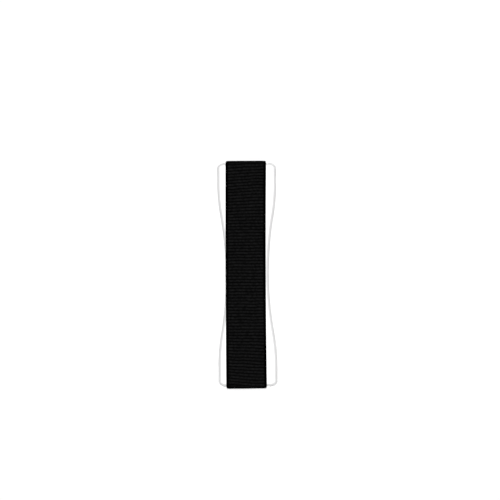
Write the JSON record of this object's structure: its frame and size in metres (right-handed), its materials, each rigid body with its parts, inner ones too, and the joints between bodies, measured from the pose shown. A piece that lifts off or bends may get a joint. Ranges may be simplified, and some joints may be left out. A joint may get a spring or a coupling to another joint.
{
  "type": "tablet finger grip",
  "caption": "Slim hourglass plate that sticks to the back of a tablet, with a ribbed elastic band along its front for fingers to slip under.",
  "frame": {"origin": "centre of the release liner's underside, which is the face towards the tablet", "axes": "+Y along the band, +Z away from the tablet, +X across the band"},
  "size_m": [0.0264, 0.1026, 0.0044],
  "materials": {
    "white_plastic": "satin",
    "black_elastic": "matte",
    "white_foam": "matte",
    "liner_paper": "satin"
  },
  "bodies": {
    "root": {"release_liner": "liner_paper", "adhesive_pad": "white_foam", "base_plate": "white_plastic", "elastic_band": "black_elastic"}
  },
  "joints": []
}
